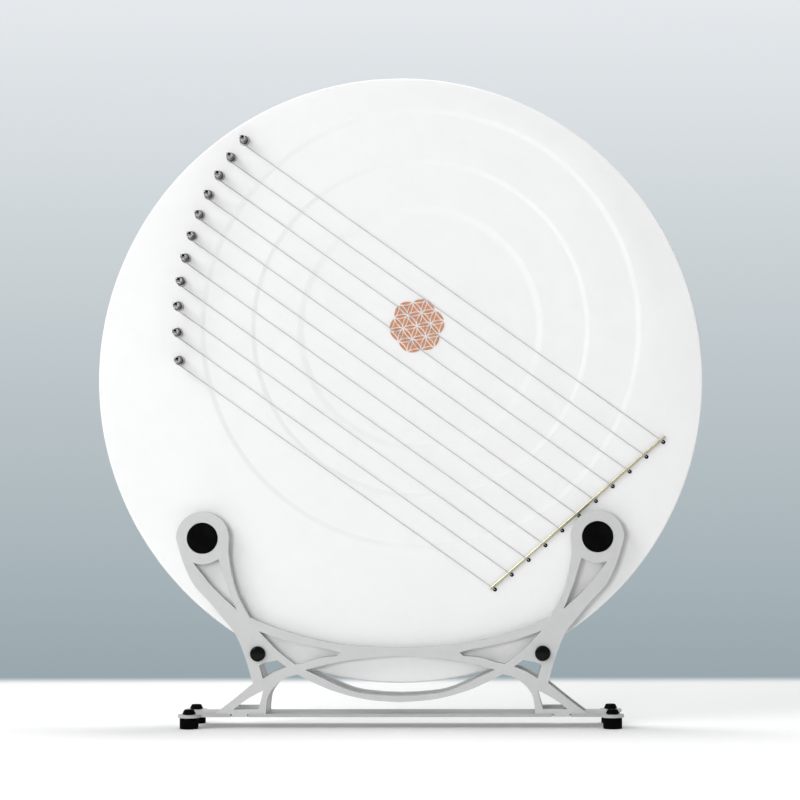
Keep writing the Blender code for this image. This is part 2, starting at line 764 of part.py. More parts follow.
def four_corners(stem, mesh, finish, x, z):
    """Copies of a piece that faces front, at the left and right of both plates."""
    made = []
    for side, turn in (("front", 0), ("rear", math.pi)):
        for hand, sign in (("left", -1), ("right", 1)):
            item = part(f"{stem}_{side}_{hand}", mesh, finish, (sign * x, 0, z))
            item.rotation_euler.z = turn
            made.append(item)
    return made


def pads(rubber):
    face = PLATE_OUTER + PAD_PROUD
    flange = PLATE_INNER - GAP
    back = HALF_DISC + GAP
    profile = [(0, face), (PAD_NECK_RADIUS, face), (PAD_NECK_RADIUS, flange)]
    profile += [(PAD_FLANGE_RADIUS, flange), (PAD_FLANGE_RADIUS, back), (0, back)]
    return four_corners("pad", turned(profile, 20), rubber, BOSS_X, BOSS_Z)


def cap_nuts(black):
    """Domed nuts with a blind bore for the end of the bolt."""
    seat = PLATE_OUTER + GAP
    dome = NUT_HEIGHT / 2
    profile = [(0, seat + NUT_HEIGHT)]
    for angle in (60, 30, 0):
        lean = math.radians(angle)
        profile.append((NUT_RADIUS * math.cos(lean), seat + dome + dome * math.sin(lean)))
    bore = BOLT_RADIUS + GAP
    profile += [(NUT_RADIUS, seat), (bore, seat), (bore, bolt_end() + GAP), (0, bolt_end() + GAP)]
    return four_corners("cap_nut", turned(profile, 16), black, KNOT_X, KNOT_Z)


def bolt_end():
    return PLATE_OUTER + NUT_HEIGHT - NUT_WALL


def cross_bolts(steel):
    end = bolt_end()
    rod = turned([(0, end), (BOLT_RADIUS, end), (BOLT_RADIUS, -end), (0, -end)], 12)
    reach = PLATE_INNER - GAP
    sleeve = turned(tube(BOLT_RADIUS + GAP, SLEEVE_RADIUS, reach, -reach), 16, ring=True)
    made = []
    for hand, sign in (("left", -1), ("right", 1)):
        place = (sign * KNOT_X, 0, KNOT_Z)
        made.append(part(f"cross_bolt_{hand}", rod, steel, place))
        made.append(part(f"spacer_sleeve_{hand}", sleeve, steel, place))
    return made


# The whole harp

def build():
    clear_scene()
    collection(PART)
    collection(CUTTERS)
    quartz = material("frosted_quartz", (0.88, 0.88, 0.89), 0.45)
    copper = material("copper", (0.62, 0.25, 0.13), 0.4, 1.0)
    brass = material("brass", (0.72, 0.58, 0.28), 0.25, 1.0)
    wire_steel = material("string_steel", (0.55, 0.55, 0.56), 0.35, 1.0)
    chrome = material("chrome", (0.75, 0.75, 0.76), 0.12, 1.0)
    pale_nylon = material("pale_nylon", (0.82, 0.82, 0.82), 0.5)
    aluminium = material("bead_blasted_aluminium", (0.62, 0.62, 0.63), 0.55, 0.6)
    rubber = material("black_rubber", (0.012, 0.012, 0.012), 0.8)
    black = material("black_cap", (0.01, 0.01, 0.01), 0.2)
    steel = material("screw_steel", (0.5, 0.5, 0.5), 0.35, 1.0)

    body = disc(quartz)
    carried = [rosette(copper), bridge_rod(brass)] + bushings(pale_nylon)
    carried += tuning_pins(chrome) + strings(wire_steel)
    carry(body, carried)

    base = base_plate(aluminium)
    stand = [cradle_plate("cradle_plate_front", -1, aluminium)]
    stand += [cradle_plate("cradle_plate_rear", 1, aluminium)]
    stand += pads(rubber) + cross_bolts(steel) + cap_nuts(black)
    stand += feet(rubber) + base_screws(steel)
    carry(base, stand)


build()
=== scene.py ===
"""The looks of the crystal lyre harp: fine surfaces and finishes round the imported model."""

import math

import bmesh
import bpy
from mathutils import Matrix, Vector

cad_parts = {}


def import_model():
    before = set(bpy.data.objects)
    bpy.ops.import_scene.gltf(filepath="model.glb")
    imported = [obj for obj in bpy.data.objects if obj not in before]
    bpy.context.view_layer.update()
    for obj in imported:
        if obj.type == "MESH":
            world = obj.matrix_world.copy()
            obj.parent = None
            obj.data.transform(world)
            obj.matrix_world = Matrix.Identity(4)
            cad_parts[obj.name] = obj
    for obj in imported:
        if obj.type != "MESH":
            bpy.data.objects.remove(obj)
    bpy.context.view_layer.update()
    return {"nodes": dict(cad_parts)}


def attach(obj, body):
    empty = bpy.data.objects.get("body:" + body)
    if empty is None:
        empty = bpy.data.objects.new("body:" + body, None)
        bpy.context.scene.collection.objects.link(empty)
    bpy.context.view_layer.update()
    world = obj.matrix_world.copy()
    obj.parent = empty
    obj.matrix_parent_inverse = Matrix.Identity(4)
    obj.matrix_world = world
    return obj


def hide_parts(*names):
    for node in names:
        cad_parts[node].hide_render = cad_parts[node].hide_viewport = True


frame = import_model()

# Clearance kept between separate pieces that touch on the real object
GAP = 0.0003

# Quartz disc
DISC_RADIUS = 0.2025
DISC_THICKNESS = 0.014
DISC_EDGE_ROUND = 0.0012

# Three terraces sunk in the front of the disc, stepping down to an off-centre middle
TERRACE_OFFSET = Vector((0.014, 0.0341))
TERRACE_STEP = 0.001
TERRACE_RIM_BAND = 0.054
TERRACE_BANDS = (0.0343, 0.0308)
TERRACE_SLOPES = (0.0048, 0.0045, 0.0065)

# Copper inlay: seven overlapping circles on a triangular lattice
ROSETTE_OFFSET = Vector((-0.0021, 0.0020))
ROSETTE_CIRCLE = 0.0094
ROSETTE_TURN = math.radians(9.7)
ROSETTE_LINE = 0.0007
ROSETTE_THICKNESS = 0.0003
ROSETTE_REACH = 2

# Cradle plates: the boss, the knot at the bolt and the foot, which the outline hangs on
BOSS_X = 0.1315
BOSS_Z = 0.1264
BOSS_RADIUS = 0.0176
KNOT_X = 0.0946
KNOT_Z = 0.0495
FOOT_X = 0.107
TOP_ARC_Z = 0.0535
TOP_BAR = 0.0056
LOWER_ARC_Z = 0.0172
LOWER_BAR = 0.0041
WINDOW_INSET = 0.0003
WINDOW_TOP_ANGLES = (-69, -128)
PLATE_THICKNESS = 0.008
PLATE_SPACING = 0.020

# Rubber pads that hold the disc between the bosses
PAD_NECK_RADIUS = 0.01015
PAD_FLANGE_RADIUS = 0.0125
PAD_PROUD = 0.0004

# Cross bolts, their sleeves and their domed nuts
BOLT_RADIUS = 0.0015
SLEEVE_RADIUS = 0.0025
NUT_RADIUS = 0.0051
NUT_HEIGHT = 0.003
NUT_WALL = 0.0012

# Base plate, lying on the feet
BASE_THICKNESS = 0.002
BASE_HALF_LENGTH = 0.1404
BASE_HALF_WIDTH = 0.019
EAR_RADIUS = 0.00746
EAR_INSET = 0.001
TAB_WIDTH = 0.0104
NOTCH_PLAY = 0.0008

# Holes in the base plate for the countersunk screws, outside each tab
SCREW_HEAD_RADIUS = 0.0024
SCREW_OFFSET = 0.0100

# Rubber feet, pushed up through the ears of the base plate
FOOT_RADIUS = 0.00625
FOOT_HEIGHT = 0.0072
FOOT_NECK_RADIUS = 0.003
FOOT_NUB_RADIUS = 0.00445
FOOT_NUB_TOP_RADIUS = 0.0034
FOOT_NUB_HEIGHT = 0.0029

# Bridge rod across the lower right of the disc
ROD_RADIUS = 0.001
ROD_LENGTH = 0.1548
ROD_ANGLE = math.radians(40.93)
ROD_TO_PAD = 0.0204
ROD_RIM_MARGIN = 0.0214

# Strings, the top one first, and their lined holes
STRING_COUNT = 11
STRING_PITCH = 0.01491
STRING_RADIUS = 0.00025
STRING_SLOPE = math.radians(-36.2)
RUN_HEIGHT = 0.0048
LAST_HOLE = 0.0025
HOLE_OFFSET = 0.0023
HOLE_RADIUS = 0.0011
LINING_WALL = 0.00082
COLLAR_RADIUS = 0.00135
COLLAR_HEIGHT = 0.0002
BALL_END_RADIUS = 0.002
BALL_END_LENGTH = 0.003

# Tuning pins, which stand on an arc near the left edge of the disc
PIN_ARC_MARGIN = 0.0065
PIN_ARC_OFFSET = Vector((0.0473, 0.0360))
PIN_RADIUS = 0.002
PIN_WAIST_RADIUS = 0.00195
PIN_PROUD = 0.020
PIN_INSET = 0.002
PIN_HEAD_LENGTH = 0.008
PIN_HEAD_FLATS = 0.0032
PIN_TIP_FLATS = 0.0026
PIN_SHOULDER_EASE = 1.02
PIN_FLATS_OVERSHOOT = 0.002
PIN_FLATS_BLOCK = 6 * PIN_RADIUS
PIN_DOME = 0.0012
BUSHING_WALL = 0.0007
WINDING_TURNS = 3
WINDING_PITCH = 0.00098

# Softened edges
PLATE_EDGE = 0.0002
BASE_EDGE = 0.0002
FOOT_EDGE = 0.0004
PIN_EDGE = 0.00012
BALL_END_EDGE = BALL_END_RADIUS / 6
ROD_EDGE = ROD_RADIUS / 5
ROSETTE_EDGE = ROSETTE_THICKNESS / 6
PAD_EDGE = PAD_PROUD / 2
COLLAR_EDGE = COLLAR_HEIGHT / 2
BUSHING_EDGE = GAP / 2

# Steps round a form, or along a line
DISC_STEPS = 240
PAD_STEPS = 64
ROUND_STEPS = 48
SMALL_STEPS = 32
HOLE_STEPS = 24
WINDOW_TOP_STEPS = 20
PETAL_STEPS = 10
TRIANGLE_STEPS = 7
DISC_EDGE_STEPS = 8
FOOT_EDGE_STEPS = 4
SLOPE_STEPS = 8
LINE_STEPS = 8
WINDING_STEPS = 28

# Degrees from one step of a dome or a bend to the next
PIN_DOME_STEP = 15
NUT_DOME_STEP = 10
ROD_BEND_STEP = 30

# Roundness of the wires, in steps of a quarter
ROD_ROUNDNESS = 8
STRING_ROUNDNESS = 3

# How meshes are cleaned, shaded and bevelled
MERGE_DISTANCE = 0.000001
AXIS_MERGE_DISTANCE = 0.00001
FLAT_ANGLE = math.radians(0.05)
SHARP_ANGLE = math.radians(32)
BEVEL_ANGLE = math.radians(50)
TO_FRONT = Matrix.Rotation(math.radians(90), 4, "X")

# Worked out from the sizes above
BASE_BOTTOM = FOOT_HEIGHT + GAP
BASE_TOP = BASE_BOTTOM + BASE_THICKNESS
PLATE_INNER = PLATE_SPACING / 2
PLATE_OUTER = PLATE_INNER + PLATE_THICKNESS
PLATE_MIDDLE = (PLATE_INNER + PLATE_OUTER) / 2
HALF_DISC = DISC_THICKNESS / 2
DISC_Z = KNOT_Z + math.sqrt((DISC_RADIUS + SLEEVE_RADIUS + GAP) ** 2 - KNOT_X ** 2)
DISC_CENTRE = Vector((0, DISC_Z))
INLAY_BACK = HALF_DISC - len(TERRACE_SLOPES) * TERRACE_STEP + GAP / 3
POCKET_FLOOR = BALL_END_LENGTH + 2 * GAP - HALF_DISC
BALL_END_FRONT = HALF_DISC - GAP - BALL_END_LENGTH
BOLT_END = PLATE_OUTER + NUT_HEIGHT - NUT_WALL
EAR_Y = BASE_HALF_WIDTH + EAR_INSET
WINDING_RADIUS = PIN_WAIST_RADIUS + GAP + STRING_RADIUS
WAIST_MARGIN = 4 * STRING_RADIUS
BUSHING_RADIUS = PIN_RADIUS + GAP + BUSHING_WALL
ALONG_ROD = Vector((math.cos(ROD_ANGLE), math.sin(ROD_ANGLE)))
PAST_ROD = Vector((math.sin(ROD_ANGLE), -math.cos(ROD_ANGLE)))

# Finishes: darker and lighter colour, least and most roughness, grains a metre, relief, metal
FINISHES = {
    "quartz": ((0.825, 0.826, 0.828), (0.84, 0.841, 0.842), (0.42, 0.52), 900, 0.00001, 0.0),
    "copper": ((0.50, 0.205, 0.095), (0.72, 0.35, 0.20), (0.35, 0.5), 9000, 0.00001, 0.15),
    "brass": ((0.56, 0.52, 0.36), (0.68, 0.64, 0.48), (0.1, 0.15), 300, 0.0000005, 1.0),
    "nylon": ((0.70, 0.70, 0.70), (0.76, 0.76, 0.76), (0.4, 0.5), 1500, 0.00001, 0.0),
    "chrome": ((0.20, 0.19, 0.185), (0.32, 0.31, 0.30), (0.05, 0.12), 1200, 0.000002, 1.0),
    "string_steel": ((0.50, 0.50, 0.51), (0.62, 0.62, 0.63), (0.3, 0.42), 3000, 0.000004, 0.6),
    "aluminium": ((0.60, 0.602, 0.602), (0.62, 0.622, 0.622), (0.45, 0.55), 2200, 0.000008, 0.2),
    "rubber": ((0.001, 0.001, 0.001), (0.003, 0.003, 0.003), (0.75, 0.9), 1800, 0.00003, 0.0),
    "black_cap": ((0.004, 0.004, 0.004), (0.007, 0.007, 0.007), (0.1, 0.18), 400, 0.000005, 0.0),
    "steel": ((0.40, 0.40, 0.40), (0.50, 0.50, 0.50), (0.25, 0.4), 1500, 0.00001, 1.0),
}
# The plates' aluminium painted darker for the base plate: painted shade and a painted dark reflection on
# its top face
BASE_ALUMINIUM_PAINTED_SHADE = ((0.48, 0.482, 0.482), (0.51, 0.512, 0.512), (0.4, 0.5), 2200, 0.000008, 0.2)
# Darker colour on the windings round the pins: painted shade, standing in for the shade between the turns
WOUND_PAINTED_SHADE = (0.10, 0.085, 0.08)
MATT_VALUES = {
    "rubber": {"Specular IOR Level": 0.05},
    "black_cap": {"Specular IOR Level": 0.1},
}
QUARTZ_DEPTH = {
    "Subsurface Weight": 0.2,
    "Subsurface Radius": (0.006, 0.006, 0.006),
    "Subsurface Scale": 0.5,
}

# How many times coarser than the grain each thing varies, and in how much detail
COLOR_NOISE = (12, 4)
GLOSS_NOISE = (5, 3)
RELIEF_NOISE = (1, 2)
NOISE_LOW = 0.3
NOISE_HIGH = 0.7

# Camera, with lengths in pixels of a picture that is 800 wide
FOCAL_PIXELS = 2600.0
IMAGE_MIDDLE = 400.0
VANISHING_POINT = (522.0, 470.0)
HORIZON_PIXEL = VANISHING_POINT[1]
ROLL = 0.0065
CAMERA_PLACE = (0.08175, -1.74507, 0.1708)
SENSOR_WIDTH = 36.0
CLIP_RANGE = (0.05, 60.0)

# White floor that meets a blue-grey backdrop
FLOOR_SIZE = 12.0
FLOOR_WHITE = (0.93, 0.93, 0.93)
FLOOR_ROUGHNESS = 0.7
FLOOR_SPECULAR = 0.1
FLOOR_GLOW = 0.13
BACKDROP_Y = 0.368
BACKDROP_BLEND = (-0.03, 0.05)
BACKDROP_PIXELS = 683.0
BACKDROP_COLORS = (
    (0.0, (0.79, 0.82, 0.85)),
    (0.5, (0.527, 0.584, 0.61)),
    (1.0, (0.314, 0.386, 0.418)),
)
LEAST_DISTANCE = 0.1

# Soft light from the left: place, size, power and whether what is glossy shows the lamp
WORLD_TINT = (0.98, 0.99, 1.0)
WORLD_LIGHT = 0.31
GLOSSY_LIGHT = 0.9
FRONT_DARK = -0.5
LIT_POINT = (0, 0, 0.22)
LAMPS = {
    "key": ((-1.3, -1.1, 1.3), (1.1, 1.1), 17.7, True),
    "front": ((-0.6, -2.5, 0.4), (0.6, 0.6), 22, False),
    "top": ((0.1, 0.25, 1.7), (1.0, 0.4), 13, True),
}


# Pieces: each rides on its body, stands for its node and takes the node's finish

def body_of(name):
    if name.startswith("tuning_pin"):
        return name.replace("tuning_pin", "pin")
    carried = ("crystal_disc", "rosette", "bridge_rod", "pin_bushing", "string")
    return "disc" if name.startswith(carried) else "stand"


def new_object(name, data, place=(0, 0, 0)):
    made = bpy.data.objects.new(name, data)
    made.location = place
    bpy.context.scene.collection.objects.link(made)
    return made


def part(name, mesh, finish, place=(0, 0, 0)):
    """A fine piece in the place of the node with that name, where there is one."""
    made = new_object(f"{name}_fine", mesh, place)
    mesh.materials.clear()
    mesh.materials.append(finish)
    mesh.shade_smooth()
    mesh.set_sharp_from_angle(angle=SHARP_ANGLE)
    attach(made, body_of(name))
    if name in frame["nodes"]:
        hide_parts(name)
    return made


def bevel(item, width, segments=2):
    edge = item.modifiers.new("Edge", "BEVEL")
    edge.width = width
    edge.segments = segments
    edge.limit_method = "ANGLE"
    edge.angle_limit = BEVEL_ANGLE


# Meshes

def applied(item):
    """The mesh that an object's curve or modifiers give; the object is removed."""
    bpy.context.view_layer.update()
    graph = bpy.context.evaluated_depsgraph_get()
    mesh = bpy.data.meshes.new_from_object(item.evaluated_get(graph))
    bpy.data.objects.remove(item, do_unlink=True)
    return mesh


def combined(operation, mesh, tools, place=(0, 0, 0)):
    """A mesh at a place with the tools cut out of it or joined to it; the tools are removed."""
    item = new_object("draft", mesh, place)
    for tool in tools:
        change = item.modifiers.new(tool.name, "BOOLEAN")
        change.operation = operation
        change.solver = "EXACT"
        change.object = tool
    made = applied(item)
    for tool in tools:
        bpy.data.objects.remove(tool, do_unlink=True)
    return made


def cleaned(mesh):
    """The mesh with doubled points merged, flat faces joined and normals turned outwards."""
    body = bmesh.new()
    body.from_mesh(mesh)
    bmesh.ops.remove_doubles(body, verts=body.verts, dist=MERGE_DISTANCE)
    bmesh.ops.dissolve_limit(body, angle_limit=FLAT_ANGLE, verts=body.verts, edges=body.edges)
    bmesh.ops.recalc_face_normals(body, faces=body.faces)
    body.to_mesh(mesh)
    body.free()
    return mesh


def mesh_of(body, name):
    mesh = bpy.data.meshes.new(name)
    body.to_mesh(mesh)
    body.free()
    return mesh


def turned(profile, steps, upright=False, ring=False):
    """A profile of (radius, height), top first, spun about the axis.

    Heights are measured towards the front, or upwards when upright.
    """
    edges = [(step, step + 1) for step in range(len(profile) - 1)]
    if ring:
        edges.append((len(profile) - 1, 0))
    line = bpy.data.meshes.new("profile")
    line.from_pydata([(radius, 0, height) for radius, height in profile], edges, [])
    item = new_object("draft", line)
    screw = item.modifiers.new("Spin", "SCREW")
    screw.steps = steps
    screw.render_steps = steps
    screw.use_merge_vertices = True
    screw.merge_threshold = AXIS_MERGE_DISTANCE
    mesh = cleaned(applied(item))
    if not upright:
        mesh.transform(TO_FRONT)
    return mesh


def flat(outlines, thickness):
    """Outlines in X and Y, the inner ones being windows, given a thickness about Z = 0."""
    curve = bpy.data.curves.new("outline", "CURVE")
    curve.dimensions = "2D"
    curve.fill_mode = "BOTH"
    curve.extrude = thickness / 2
    for outline in outlines:
        spline = curve.splines.new("POLY")
        spline.points.add(len(outline) - 1)
        for point, (x, y) in zip(spline.points, outline):
            point.co = (x, y, 0, 1)
        spline.use_cyclic_u = True
    return cleaned(applied(new_object("draft", curve)))


def wire(points, radius, roundness):
    curve = bpy.data.curves.new("wire", "CURVE")
    curve.dimensions = "3D"
    curve.bevel_depth = radius
    curve.bevel_resolution = roundness
    curve.use_fill_caps = True
    spline = curve.splines.new("POLY")
    spline.points.add(len(points) - 1)
    for point, place in zip(spline.points, points):
        point.co = (*place, 1)
    return cleaned(applied(new_object("draft", curve)))


def copies(mesh, places):
    """One mesh that holds a separate body at each place."""
    body = bmesh.new()
    for place in places:
        moved = mesh.copy()
        moved.transform(Matrix.Translation(place))
        body.from_mesh(moved)
    return mesh_of(body, "copies")


# Points and outlines

def at(plan, y=0.0):
    """A point over the disc's front, given as X and Z, at a depth."""
    return Vector((plan[0], y, plan[1]))


def arc(centre, radius, start, end, steps):
    """Points on an arc between two angles in degrees, both ends included."""
    points = []
    for step in range(steps + 1):
        angle = math.radians(start + (end - start) * step / steps)
        points.append((centre[0] + radius * math.cos(angle), centre[1] + radius * math.sin(angle)))
    return points


def circle(centre, radius, steps):
    return arc(centre, radius, 0, 360, steps)[:-1]


def through(points):
    """A smooth line through points, its ends included."""
    ends = [points[0]] + list(points) + [points[-1]]
    line = []
    for before, start, end, after in zip(ends, ends[1:], ends[2:], ends[3:]):
        for step in range(LINE_STEPS):
            t = step / LINE_STEPS
            line.append(tuple(
                0.5 * (2 * b + (c - a) * t + (2 * a - 5 * b + 4 * c - d) * t ** 2
                       + (3 * b - a - 3 * c + d) * t ** 3)
                for a, b, c, d in zip(before, start, end, after)))
    return line + [tuple(points[-1])]


def mirrored(points):
    """The same outline on the left, still running the same way round."""
    return [(-x, y) for x, y in reversed(points)]


# Where the strings, holes and pins are, in X and Z

def rod_ends():
    """The rod lies a set distance from the right pad and ends short of the rim."""
    beside = Vector((BOSS_X, BOSS_Z)) - PAST_ROD * ROD_TO_PAD - DISC_CENTRE
    reach = DISC_RADIUS - ROD_RIM_MARGIN
    along = beside.dot(ALONG_ROD)
    upper = beside + ALONG_ROD * (-along + math.sqrt(along ** 2 - beside.length_squared + reach ** 2))
    upper += DISC_CENTRE
    return upper - ALONG_ROD * ROD_LENGTH, upper


def string_holes():
    lower, _ = rod_ends()
    last = lower + ALONG_ROD * LAST_HOLE + PAST_ROD * HOLE_OFFSET
    return [last + ALONG_ROD * STRING_PITCH * (STRING_COUNT - 1 - n) for n in range(STRING_COUNT)]


def pin_places():
    """Each pin stands where the line of its string meets the pin arc."""
    centre = DISC_CENTRE + PIN_ARC_OFFSET
    radius = DISC_RADIUS - PIN_ARC_MARGIN
    back = -Vector((math.cos(STRING_SLOPE), math.sin(STRING_SLOPE)))
    places = []
    for hole in string_holes():
        start = hole - centre
        along = start.dot(back)
        places.append(hole + back * (-along + math.sqrt(along ** 2 - start.length_squared + radius ** 2)))
    return places


# The disc and what it carries

def disc(quartz):
    edge = DISC_RADIUS - DISC_EDGE_ROUND
    shoulder = HALF_DISC - DISC_EDGE_ROUND
    profile = [(0, HALF_DISC)]
    profile += arc((edge, shoulder), DISC_EDGE_ROUND, 90, 0, DISC_EDGE_STEPS)
    profile += arc((edge, -shoulder), DISC_EDGE_ROUND, 0, -90, DISC_EDGE_STEPS)
    profile += [(0, -HALF_DISC)]
    place = (0, 0, DISC_Z)
    tools = [new_object("terraces", terrace_mesh(), at(DISC_CENTRE + TERRACE_OFFSET, -HALF_DISC)),
             new_object("pin_holes", pin_hole_mesh()),
             new_object("string_holes", string_hole_mesh())]
    part("crystal_disc", combined("DIFFERENCE", turned(profile, DISC_STEPS), tools, place), quartz, place)


def terrace_mesh():
    """A stepped plug: heights are above the front face, and each step rolls off softly."""
    radii = terrace_radii()
    profile = [(0, DISC_THICKNESS), (radii[0], DISC_THICKNESS)]
    for level, (radius, slope) in enumerate(zip(radii, TERRACE_SLOPES)):
        for step in range(SLOPE_STEPS + 1):
            t = step / SLOPE_STEPS
            fall = t * t * (3 - 2 * t)
            profile.append((radius - slope * t, -(level + fall) * TERRACE_STEP))
    profile.append((0, -len(TERRACE_SLOPES) * TERRACE_STEP))
    return turned(profile, DISC_STEPS)


def terrace_radii():
    radii = [DISC_RADIUS - TERRACE_RIM_BAND]
    for band in TERRACE_BANDS:
        radii.append(radii[-1] - band)
    return radii


def pin_hole_mesh():
    reach = DISC_THICKNESS
    radius = BUSHING_RADIUS + GAP
    plug = turned([(0, reach), (radius, reach), (radius, -reach), (0, -reach)], SMALL_STEPS)
    return copies(plug, [at(place) for place in pin_places()])


def string_hole_mesh():
    """A narrow hole from the front and a wider pocket at the back, for the ball end."""
    reach = DISC_THICKNESS
    wide = BALL_END_RADIUS + GAP
    profile = [(0, reach), (HOLE_RADIUS, reach), (HOLE_RADIUS, POCKET_FLOOR)]
    profile += [(wide, POCKET_FLOOR), (wide, -reach), (0, -reach)]
    return copies(turned(profile, HOLE_STEPS), [at(hole) for hole in string_holes()])


def hole_linings(rubber):
    """Black linings of the string holes, each with a thin collar on the front."""
    bore = HOLE_RADIUS - LINING_WALL
    collar = HALF_DISC + COLLAR_HEIGHT
    profile = [(bore, collar), (COLLAR_RADIUS - COLLAR_EDGE, collar)]
    profile += [(COLLAR_RADIUS, collar - COLLAR_EDGE), (COLLAR_RADIUS, HALF_DISC)]
    profile += [(HOLE_RADIUS, HALF_DISC), (HOLE_RADIUS, POCKET_FLOOR), (bore, POCKET_FLOOR)]
    lining = turned(profile, HOLE_STEPS, ring=True)
    part("string_hole_linings", copies(lining, [at(hole) for hole in string_holes()]), rubber)


def bushings(nylon):
    """Sleeves that the tuning pins turn in, flush with the disc."""
    bore = PIN_RADIUS + GAP
    profile = [(BUSHING_RADIUS - BUSHING_EDGE, HALF_DISC), (BUSHING_RADIUS, HALF_DISC - BUSHING_EDGE)]
    profile += [(BUSHING_RADIUS, -HALF_DISC), (bore, -HALF_DISC)]
    profile += [(bore, HALF_DISC - BUSHING_EDGE), (bore + BUSHING_EDGE, HALF_DISC)]
    mesh = turned(profile, SMALL_STEPS, ring=True)
    for number, place in enumerate(pin_places(), 1):
        part(f"pin_bushing_{number:02d}", mesh, nylon, at(place))


def bridge_rod(brass):
    y = -HALF_DISC - GAP - ROD_RADIUS
    mesh = wire([at(end, y) for end in rod_ends()], ROD_RADIUS, ROD_ROUNDNESS)
    bevel(part("bridge_rod", mesh, brass), ROD_EDGE)


def rosette(copper):
    """Petals and hollow triangles of copper, each its own sliver with a soft edge."""
    middle = DISC_CENTRE + TERRACE_OFFSET + ROSETTE_OFFSET
    inlay = bmesh.new()
    for outline in rosette_outlines():
        inlay.from_mesh(flat([outline], ROSETTE_THICKNESS))
    mesh = mesh_of(inlay, "inlay")
    mesh.transform(TO_FRONT @ Matrix.Rotation(ROSETTE_TURN, 4, "Z"))
    made = part("rosette_inlay", mesh, copper, at(middle, -INLAY_BACK - ROSETTE_THICKNESS / 2))
    bevel(made, ROSETTE_EDGE, segments=1)


def rosette_outlines():
    lines = range(-ROSETTE_REACH, ROSETTE_REACH + 1)
    spots = [(column, row) for column in lines for row in lines if on_lattice(column, row)]
    outlines = []
    for column, row in spots:
        for step in ((1, 0), (0, 1), (1, -1)):
            if on_lattice(column + step[0], row + step[1]):
                outlines.append(petal(lattice_point(column, row), lattice_point(*step)))
        for side in ((0, 1), (1, -1)):
            corners = [(column, row), (column + 1, row), (column + side[0], row + side[1])]
            if all(on_lattice(*corner) for corner in corners):
                outlines.append(hollow_triangle([lattice_point(*corner) for corner in corners]))
    return outlines


def on_lattice(column, row):
    return max(abs(column), abs(row), abs(column + row)) <= ROSETTE_REACH


def lattice_point(column, row):
    return Vector((column + row / 2, row * math.sqrt(3) / 2)) * ROSETTE_CIRCLE


def petal(start, along):
    """Two shallow arcs about the line between neighbouring lattice points."""
    middle = start + along / 2
    side = Vector((-along.y, along.x)) * math.sqrt(3) / 2
    radius = ROSETTE_CIRCLE - ROSETTE_LINE / 2
    half = math.degrees(math.acos(side.length / radius))
    lean = math.degrees(math.atan2(side.y, side.x))
    points = arc(middle - side, radius, lean - half, lean + half, PETAL_STEPS)[:-1]
    return points + arc(middle + side, radius, lean + 180 - half, lean + 180 + half, PETAL_STEPS)[:-1]


def hollow_triangle(corners):
    """Three arcs that bulge inwards between the corners of a lattice triangle."""
    centre = sum(corners, Vector((0, 0))) / 3
    reach = (corners[0] - centre).length
    radius = ROSETTE_CIRCLE + ROSETTE_LINE / 2
    tip = reach - math.sqrt(radius ** 2 - ROSETTE_CIRCLE ** 2)
    half = math.degrees(math.asin(tip * math.sin(math.radians(60)) / radius))
    points = []
    for corner in sorted(corners, key=lambda spot: math.atan2(*(spot - centre).yx)):
        towards = (corner - centre) / reach
        lean = math.degrees(math.atan2(towards.y, towards.x))
        points += arc(centre - towards * 2 * reach, radius, lean + half, lean - half, TRIANGLE_STEPS)[:-1]
    return points


# Pins and strings

def tuning_pins(chrome):
    """A round pin with a waist, a tapered head with four flats and a domed end."""
    tip = HALF_DISC + PIN_PROUD
    waist_top = HALF_DISC + RUN_HEIGHT + WINDING_TURNS * WINDING_PITCH + WAIST_MARGIN
    waist_bottom = HALF_DISC + RUN_HEIGHT - WAIST_MARGIN
    profile = [(0, tip)]
    for angle in range(PIN_DOME_STEP, 91, PIN_DOME_STEP):
        lean = math.radians(angle)
        profile.append((PIN_RADIUS * math.sin(lean), tip - PIN_DOME * (1 - math.cos(lean))))
    profile += [(PIN_RADIUS, waist_top), (PIN_WAIST_RADIUS, waist_top - STRING_RADIUS)]
    profile += [(PIN_WAIST_RADIUS, waist_bottom + STRING_RADIUS), (PIN_RADIUS, waist_bottom)]
    profile += [(PIN_RADIUS, PIN_INSET - HALF_DISC), (0, PIN_INSET - HALF_DISC)]
    flats = new_object("flats", flats_mesh(tip))
    mesh = combined("DIFFERENCE", turned(profile, SMALL_STEPS), [flats])
    for number, place in enumerate(pin_places(), 1):
        bevel(part(f"tuning_pin_{number:02d}", mesh, chrome, at(place)), PIN_EDGE)


def flats_mesh(tip):
    """A block with a tapered square window, which leaves four flats that meet the shoulder."""
    shoulder = tip - PIN_HEAD_LENGTH
    taper = (PIN_HEAD_FLATS - PIN_TIP_FLATS) / PIN_HEAD_LENGTH
    end = tip + PIN_FLATS_OVERSHOOT
    sections = ((PIN_FLATS_BLOCK, end), (PIN_TIP_FLATS - taper * PIN_FLATS_OVERSHOOT, end),
                (2 * PIN_RADIUS * PIN_SHOULDER_EASE, shoulder), (PIN_FLATS_BLOCK, shoulder))
    body = bmesh.new()
    rings = []
    for size, height in sections:
        half = size / 2
        corners = ((-half, -half), (half, -half), (half, half), (-half, half))
        rings.append([body.verts.new((x, -height, z)) for x, z in corners])
    for near, far in zip(rings, rings[1:] + rings[:1]):
        for side in range(4):
            after = (side + 1) % 4
            body.faces.new((near[side], near[after], far[after], far[side]))
    bmesh.ops.recalc_face_normals(body, faces=body.faces)
    return mesh_of(body, "flats")


